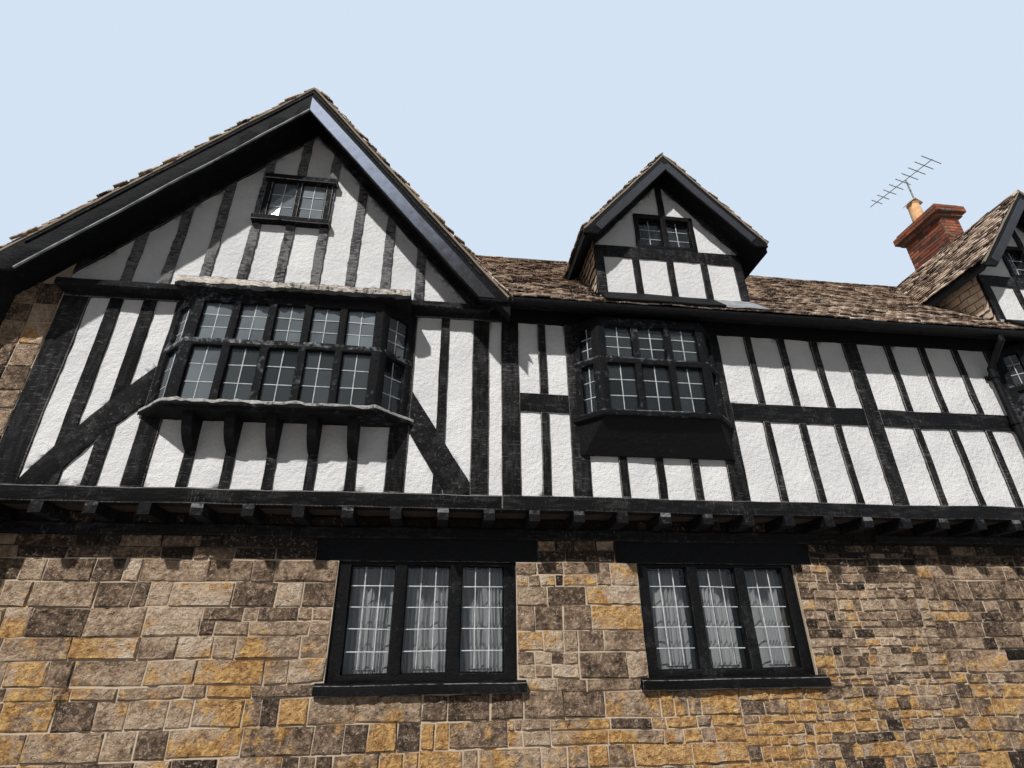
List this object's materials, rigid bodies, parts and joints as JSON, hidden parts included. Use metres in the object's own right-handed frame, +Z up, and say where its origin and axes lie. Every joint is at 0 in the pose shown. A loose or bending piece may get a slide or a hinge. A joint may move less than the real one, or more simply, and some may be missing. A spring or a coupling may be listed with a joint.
{
  "type": "half timbered house",
  "caption": "Jettied close studded timber house over a stone ground storey, with oriel windows, gabled dormers and a tiled roof.",
  "frame": {"origin": "middle of the footprint at ground level, under the ground floor slab", "axes": "+X to the right along the street front, +Y into the house, +Z up"},
  "size_m": [15.4884, 5.75, 11.2343],
  "materials": {
    "rubble_stone": "coursed brown and ochre ironstone with pale lime joints",
    "floor_stone": "worn flagstone",
    "black_oak": "hewn oak painted black, weathered",
    "weathered_oak": "bare weathered oak",
    "floor_oak": "sawn oak boards",
    "white_plaster": "rough white limewashed plaster",
    "leaded_glass": "old glass in lead cames",
    "white_net": "white net",
    "clay_tile": "small brown red clay tiles with lichen",
    "lead": "dull grey weathered lead",
    "iron": "dark iron",
    "black_iron": "black painted cast iron",
    "red_brick": "red brick with pale joints",
    "buff_clay": "buff clay",
    "pale_mortar": "pale lime mortar and bleached clay",
    "aerial_alloy": "dull alloy"
  },
  "bodies": {
    "root": {"aerial": "aerial_alloy", "cap_mortar": "pale_mortar", "chimney_cowl": "pale_mortar", "chimney_pot": "buff_clay", "chimney_stack": "red_brick", "curtain_rails": "iron", "dormer_bargeboards": "black_oak", "dormer_cheeks": "clay_tile", "dormer_frames": "black_oak", "dormer_panels": "white_plaster", "dormer_roofs": "clay_tile", "dormer_window_frames": "black_oak", "downpipe": "black_iron", "eaves_gutter": "black_iron", "floor_boards": "floor_oak", "floor_joists": "black_oak", "front_stone_wall": "rubble_stone", "gable_window_frame": "black_oak", "ground_curtains": "white_net", "ground_floor_slab": "floor_stone", "ground_window_frames": "black_oak", "ground_window_glass": "leaded_glass", "ground_window_lintels": "black_oak", "ground_window_sills": "black_oak", "large_oriel_brackets": "black_oak", "large_oriel_frame": "black_oak", "large_oriel_hood": "weathered_oak", "lead_aprons": "lead", "left_stone_wall": "rubble_stone", "main_roof_back": "clay_tile", "main_roof_front": "clay_tile", "range_bressumer": "black_oak", "range_mid_rails": "black_oak", "range_oriel_coves": "black_oak", "range_oriel_frames": "black_oak", "range_posts": "black_oak", "range_studs": "black_oak", "range_wall_panels": "white_plaster", "rear_door": "black_oak", "rear_gable_frame": "black_oak", "rear_stone_wall": "rubble_stone", "rear_timber_frame": "black_oak", "rear_wall_panels": "white_plaster", "rear_window_frames": "black_oak", "ridge_tiles": "clay_tile", "right_party_wall": "rubble_stone", "upper_window_glass": "leaded_glass", "wall_plates": "black_oak", "wing_bargeboards": "black_oak", "wing_braces": "black_oak", "wing_bressumer": "black_oak", "wing_gable_panels": "white_plaster", "wing_gable_rafters": "black_oak", "wing_gable_studs": "black_oak", "wing_posts": "black_oak", "wing_roof_left": "clay_tile", "wing_roof_right": "clay_tile", "wing_studs": "black_oak", "wing_tie_beam": "black_oak", "wing_wall_panels": "white_plaster"}
  },
  "joints": []
}
